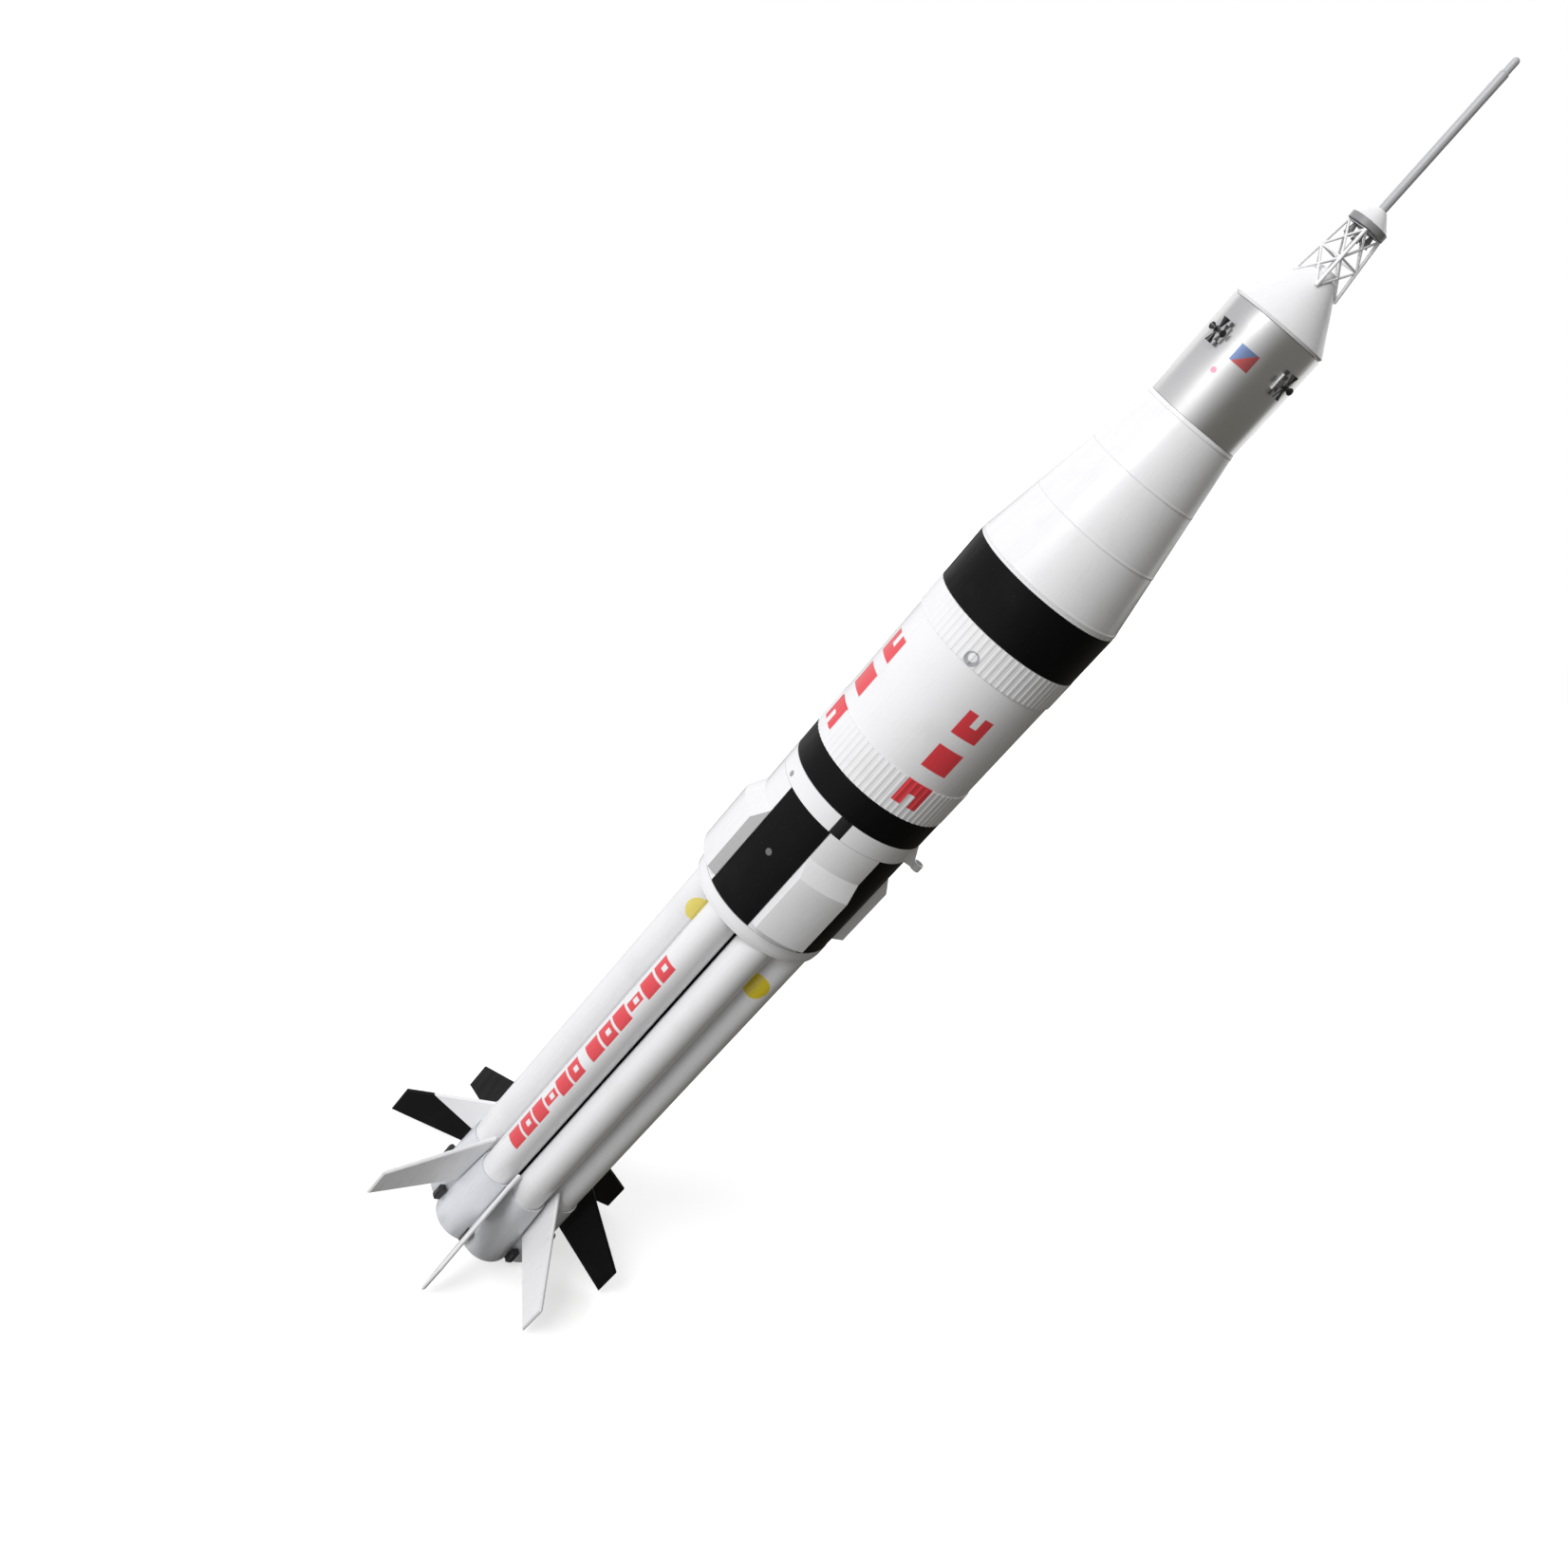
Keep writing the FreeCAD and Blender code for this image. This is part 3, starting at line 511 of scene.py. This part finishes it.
def plywood_finish():
    """Laser-cut birch: long grain on the faces and dark, scorched plies on the edges."""
    finish = Finish("plywood", (0.66, 0.49, 0.29), 0.6)
    grain = finish.noise(240.0, 6.0, 0.65, stretch=(0.12, 1.0, 1.0))
    face = finish.mix(finish.step(grain, 0.35, 0.7), (0.70, 0.53, 0.33), (0.50, 0.34, 0.18))
    up = finish.node("ShaderNodeSeparateXYZ", Vector=finish.node("ShaderNodeNewGeometry").outputs["Normal"])
    edge = finish.step(finish.math("ABSOLUTE", up.outputs["Z"]), 0.3, 0.6, 1.0, 0.0)
    plies = finish.math("SINE", finish.math("MULTIPLY", finish.axes["Z"], 6283.0))
    burnt = finish.mix(finish.step(plies, -0.4, 0.6), (0.07, 0.04, 0.02), (0.19, 0.11, 0.055))
    finish.colour(finish.mix(edge, face, burnt))
    finish.roughness(finish.step(grain, 0.3, 0.7, 0.5, 0.72))
    finish.bump(grain, 0.00008, 0.6)
    return finish.give(
        "tank_plate", "motor_ring_lower", "motor_ring_upper", "forward_ring",
        "nose_bulkhead", "service_disc", "thrust_ring")


def clay_finish():
    finish = Finish("pressed_clay", (0.36, 0.33, 0.29), 0.9)
    grit = finish.noise(1400.0, 6.0, 0.75)
    finish.colour(finish.mix(grit, (0.28, 0.25, 0.22), (0.46, 0.42, 0.37)))
    finish.roughness(finish.step(grit, 0.2, 0.8, 0.8, 0.97))
    finish.bump(grit, 0.00012, 0.8)
    return finish.give("motor_nozzle")


def steel_finish():
    finish = Finish("zinc_wire", (0.58, 0.58, 0.56), 0.32, metallic=1.0)
    cloud = finish.noise(800.0, 4.0)
    finish.colour(finish.mix(cloud, (0.50, 0.50, 0.49), (0.66, 0.65, 0.61)))
    finish.roughness(finish.step(cloud, 0.3, 0.7, 0.25, 0.42))
    finish.bump(finish.noise(2500.0, 3.0), 0.00002, 0.6)
    return finish.give("nose_eye")


def nylon_finish():
    """Thin orange nylon with a ripstop grid."""
    finish = Finish("fabric_nylon", (0.72, 0.16, 0.03), 0.55, sheen=0.35)
    weave_x = finish.math("SINE", finish.math("MULTIPLY", finish.azimuth(), 9.0))
    weave_z = finish.math("SINE", finish.math("MULTIPLY", finish.axes["Z"], 5200.0))
    weave = finish.math("MULTIPLY", weave_x, weave_z)
    tone = finish.noise(70.0, 4.0)
    finish.colour(finish.mix(tone, (0.62, 0.12, 0.025), (0.82, 0.23, 0.05)))
    finish.roughness(finish.step(tone, 0.3, 0.7, 0.45, 0.65))
    finish.bump(weave, 0.00006, 0.5)
    return finish


def wadding_finish():
    finish = Finish("wadding_paper", (0.72, 0.70, 0.64), 0.92)
    crush = finish.noise(220.0, 6.0, 0.7)
    finish.colour(finish.mix(crush, (0.60, 0.58, 0.52), (0.80, 0.78, 0.73)))
    finish.roughness(finish.step(crush, 0.3, 0.7, 0.85, 0.98))
    finish.bump(crush, 0.0006, 0.8)
    return finish


# ---- pieces made here -----------------------------------------------------------------------
def piece(name, points, faces, finish, body):
    mesh = bpy.data.meshes.new(name)
    mesh.from_pydata(points, [], faces)
    mesh.validate()
    mesh.materials.append(finish.material)
    for polygon in mesh.polygons:
        polygon.use_smooth = True
    made = bpy.data.objects.new(name, mesh)
    bpy.context.scene.collection.objects.link(made)
    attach(made, body)
    return made


def skin(columns, rows, closed=False):
    """Faces of a grid of points, stored one column after another."""
    faces = []
    for column in range(columns if closed else columns - 1):
        following = (column + 1) % columns
        for row in range(rows - 1):
            faces.append((column * rows + row, following * rows + row,
                          following * rows + row + 1, column * rows + row + 1))
    return faces


def cloth(points, columns, rows, thickness):
    """Points and faces of one closed sheet, thickness thick, round the given grid of points."""
    grid = [points[c * rows:(c + 1) * rows] for c in range(columns)]
    front, back = [], []
    for c in range(columns):
        for r in range(rows):
            along = grid[min(c + 1, columns - 1)][r] - grid[max(c - 1, 0)][r]
            up = grid[c][min(r + 1, rows - 1)] - grid[c][max(r - 1, 0)]
            normal = along.cross(up).normalized() * thickness / 2
            front.append(grid[c][r] + normal)
            back.append(grid[c][r] - normal)
    total = columns * rows
    faces = skin(columns, rows)
    faces += [tuple(total + index for index in reversed(face)) for face in faces]
    rim = [c * rows for c in range(columns)]
    rim += [(columns - 1) * rows + r for r in range(1, rows)]
    rim += [c * rows + rows - 1 for c in range(columns - 2, -1, -1)]
    rim += list(range(rows - 2, 0, -1))
    for first, second in zip(rim, rim[1:] + rim[:1]):
        faces.append((second, first, total + first, total + second))
    return front + back, faces


def rolled_parachute(finish):
    """The canopy, folded to a strip and rolled up with soft creases, in the space of its CAD solid."""
    low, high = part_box("parachute_pack")
    outer = (high.x - low.x) / 2 - ROLL_CLEAR
    middle, half = (low.z + high.z) / 2, (high.z - low.z) / 2 - ROLL_CLEAR
    turns = (outer - ROLL_CORE_R) / ROLL_PITCH
    columns, rows = int(turns * ROLL_STEPS), ROLL_ROWS
    phases = [rng.uniform(0.0, math.tau) for _ in range(5)]
    points = []
    for column in range(columns):
        turn = turns * column / (columns - 1)
        radius = ROLL_CORE_R + ROLL_PITCH * turn
        lift = half * (1.0 - 0.10 * (radius / outer) ** 6)
        for row in range(rows):
            share = 2.0 * row / (rows - 1) - 1.0
            crease = math.sin(9.0 * math.tau * turn + phases[0] + 2.2 * share)
            crease += math.sin(5.0 * math.tau * turn + phases[1] - 3.1 * share)
            crease += math.sin(14.0 * share + phases[2] + turn)
            taper = 1.0 - 0.16 * abs(share) ** 5
            wander = 0.0006 * math.sin(3.7 * math.tau * turn + phases[3])
            points.append(at(
                radius * taper + ROLL_CREASE * crease, 360.0 * turn,
                middle + share * (lift - 0.0008) + wander))
    mesh_points, faces = cloth(points, columns, rows, ROLL_THICK)
    rolled = piece("folded_parachute", mesh_points, faces, finish, "booster")
    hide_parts("parachute_pack")


def crumpled_wadding(finish):
    """Squares of soft recovery wadding, crushed flat and stacked in the space of their CAD solid."""
    low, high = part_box("wadding_pad")
    outer = (high.x - low.x) / 2 - ROLL_CLEAR
    depth = (high.z - low.z) / WADDING_SHEETS
    for number in range(WADDING_SHEETS):
        level = low.z + depth * (number + 0.5)
        waves = []
        for _ in range(9):
            heading = rng.uniform(0.0, math.tau)
            pitch = rng.uniform(0.010, 0.026)
            waves.append((math.cos(heading) / pitch, math.sin(heading) / pitch, rng.uniform(0.0, math.tau)))
        points = []
        columns = rows = WADDING_GRID
        for column in range(columns):
            for row in range(rows):
                across = 2.0 * column / (columns - 1) - 1.0
                along = 2.0 * row / (rows - 1) - 1.0
                # a square grid pressed into a disc
                x = outer * across * math.sqrt(1.0 - along * along / 2.0)
                y = outer * along * math.sqrt(1.0 - across * across / 2.0)
                crush = sum(abs(math.sin(math.pi * (x * u + y * v) + start)) for u, v, start in waves)
                crush = crush / len(waves) - 0.64
                reach = max(abs(across), abs(along)) ** 4
                rise = depth * (1.15 * crush) * (1.0 - 0.25 * reach)
                rise = max(-0.40 * depth, min(0.40 * depth, rise))
                points.append(Vector((0.985 * x, 0.985 * y, level + rise)))
        mesh_points, faces = cloth(points, columns, rows, WADDING_THICK)
        sheet = piece("wadding_sheet_%d" % (number + 1), mesh_points, faces, finish, "booster")
        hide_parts("wadding_pad")


def adapter_rings(finish):
    """Thin raised bands round the adapter cone, where its skin panels meet."""
    low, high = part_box("adapter_cone")
    base = (high.x - low.x) / 2
    top = SERVICE_R + RING_TOP_STEP
    for number, share in enumerate(RING_SHARES):
        rows = []
        for end in (-1.0, 1.0):
            place = share + end * RING_TALL / 2 / (high.z - low.z)
            radius = base + (top - base) * place
            rows.append((radius, low.z + (high.z - low.z) * place))
        (wide, foot), (narrow, head) = rows
        profile = [
            (wide - RING_SUNK, foot), (wide + RING_PROUD * 0.5, foot),
            (wide + RING_PROUD, foot + RING_TALL * 0.2), (narrow + RING_PROUD, head - RING_TALL * 0.2),
            (narrow + RING_PROUD * 0.5, head), (narrow - RING_SUNK, head)]
        points = []
        for turn in range(RING_STEPS):
            points += [at(radius, 360.0 * turn / RING_STEPS, height) for radius, height in profile]
        count = len(profile)
        faces = skin(RING_STEPS, count, closed=True)
        for turn in range(RING_STEPS):
            after = (turn + 1) % RING_STEPS
            faces.append((turn * count + count - 1, after * count + count - 1, after * count, turn * count))
        piece("adapter_ring_%d" % (number + 1), points, faces, finish, "nose")


# ---- scene ----------------------------------------------------------------------------------
def add_camera():
    data = bpy.data.cameras.new("camera")
    data.sensor_width = 36.0
    data.lens = CAMERA_LENS
    data.shift_x, data.shift_y = CAMERA_SHIFT
    data.clip_start, data.clip_end = 0.01, 200.0
    camera = bpy.data.objects.new("camera", data)
    bpy.context.scene.collection.objects.link(camera)
    camera.matrix_world = (
        Matrix.Translation(CAMERA_PLACE)
        @ Matrix.Rotation(math.radians(CAMERA_YAW), 4, "Z")
        @ Matrix.Rotation(math.radians(90.0 + CAMERA_PITCH), 4, "X")
        @ Matrix.Rotation(math.radians(CAMERA_ROLL), 4, "Z"))
    bpy.context.scene.camera = camera


def add_floor():
    mesh = bpy.data.meshes.new("floor")
    half = FLOOR_SIZE / 2
    corners = [(-half, -half, -FLOOR_DROP), (half, -half, -FLOOR_DROP),
               (half, half, -FLOOR_DROP), (-half, half, -FLOOR_DROP)]
    mesh.from_pydata(corners, [], [(0, 1, 2, 3)])
    floor = bpy.data.objects.new("floor", mesh)
    bpy.context.scene.collection.objects.link(floor)
    finish = Finish("floor_paper", (0.93, 0.93, 0.93), 0.9)
    tone = finish.noise(0.8, 3.0)
    finish.colour(finish.mix(tone, (0.92, 0.92, 0.92), (0.94, 0.94, 0.94)))
    finish.shader.inputs["Emission Color"].default_value = (1.0, 1.0, 1.0, 1.0)
    away = finish.node("ShaderNodeVectorMath", {"operation": "LENGTH"}).outputs["Value"]
    finish.feed(away.node.inputs[0], finish.place)
    glow = finish.step(away, 0.4, 3.0, FLOOR_GLOW, FLOOR_GLOW_FAR)
    finish.feed(finish.shader.inputs["Emission Strength"], glow)
    mesh.materials.append(finish.material)
    floor.visible_diffuse = False
    floor.visible_glossy = False


def add_light(name, place, target, size, power, colour=(1.0, 1.0, 1.0)):
    data = bpy.data.lights.new(name, "AREA")
    data.shape = "DISK"
    data.size = size
    data.energy = power
    data.color = colour
    light = bpy.data.objects.new(name, data)
    bpy.context.scene.collection.objects.link(light)
    light.location = place
    light.rotation_euler = (Vector(target) - Vector(place)).to_track_quat("-Z", "Y").to_euler()


def add_world():
    """A plain soft studio: bright to the left and behind, dim and slightly warm to the right."""
    world = bpy.data.worlds.new("studio")
    bpy.context.scene.world = world
    world.use_nodes = True
    tree = world.node_tree
    place = tree.nodes.new("ShaderNodeTexCoord")
    split = tree.nodes.new("ShaderNodeSeparateXYZ")
    tree.links.new(place.outputs["Generated"], split.inputs[0])
    across, along, up = split.outputs

    def combine(operation, first, second=0.0):
        made = tree.nodes.new("ShaderNodeMath")
        made.operation = operation
        for socket, value in zip(made.inputs, (first, second)):
            if isinstance(value, float):
                socket.default_value = value
            else:
                tree.links.new(value, socket)
        return made.outputs[0]

    def between(value, low, high, start=0.0, end=1.0):
        made = tree.nodes.new("ShaderNodeMapRange")
        made.interpolation_type = "SMOOTHSTEP"
        tree.links.new(value, made.inputs["Value"])
        for key, number in (("From Min", low), ("From Max", high), ("To Min", start), ("To Max", end)):
            made.inputs[key].default_value = number
        return made.outputs["Result"]

    def mix(factor, first, second):
        made = tree.nodes.new("ShaderNodeMix")
        made.data_type = "RGBA"
        tree.links.new(factor, made.inputs["Factor"])
        ends = [socket for socket in made.inputs if socket.type == "RGBA"]
        for socket, value in zip(ends, (first, second)):
            if isinstance(value, tuple):
                socket.default_value = (*value, 1.0)
            else:
                tree.links.new(value, socket)
        return [socket for socket in made.outputs if socket.type == "RGBA"][0]

    azimuth = combine("DEGREES", combine("ARCTAN2", across, combine("MULTIPLY", along, -1.0)))
    left = combine("MULTIPLY", between(azimuth, -30.0, 34.0, 1.0, 0.0), between(azimuth, -179.0, -135.0))
    below = mix(left, SIDE_LOW, LEFT_LOW)
    above = mix(left, SIDE_HIGH, LEFT_HIGH)
    behind = between(along, 0.50, 0.70)
    above = mix(behind, above, BEHIND)
    whole = mix(between(up, -0.10, -0.035), below, above)
    seen = tree.nodes.new("ShaderNodeLightPath").outputs["Is Camera Ray"]
    whole = mix(seen, whole, BACKDROP)
    tree.links.new(whole, tree.nodes["Background"].inputs["Color"])


add_camera()
add_floor()
add_world()
add_light("key", KEY_PLACE, (0.0, 0.0, 0.35), KEY_SIZE, KEY_POWER)
bpy.context.scene.view_settings.view_transform = "Standard"

for index in range(1, TANKS + 1):
    tank_finish(index)
body_finish()
moulded_finish()
shroud_finish()
collar_finish()
fore_wrap_finish()
adapter_rings(adapter_finish())
black_finish()
glare_fin_finish()
white_fin_finish()
foil_finish()
grey_finish()
band_finish()
dark_plastic_finish()
paper_finish("kraft_paper", (0.47, 0.30, 0.16), (0.33, 0.20, 0.10), 0.09,
             "motor_tube", "stage_coupler", "service_coupler", "cord_anchor")
paper_finish("motor_paper", (0.60, 0.42, 0.24), (0.45, 0.29, 0.15), 0.03, "motor_case")
plywood_finish()
clay_finish()
steel_finish()

rolled_parachute(nylon_finish())
crumpled_wadding(wadding_finish())
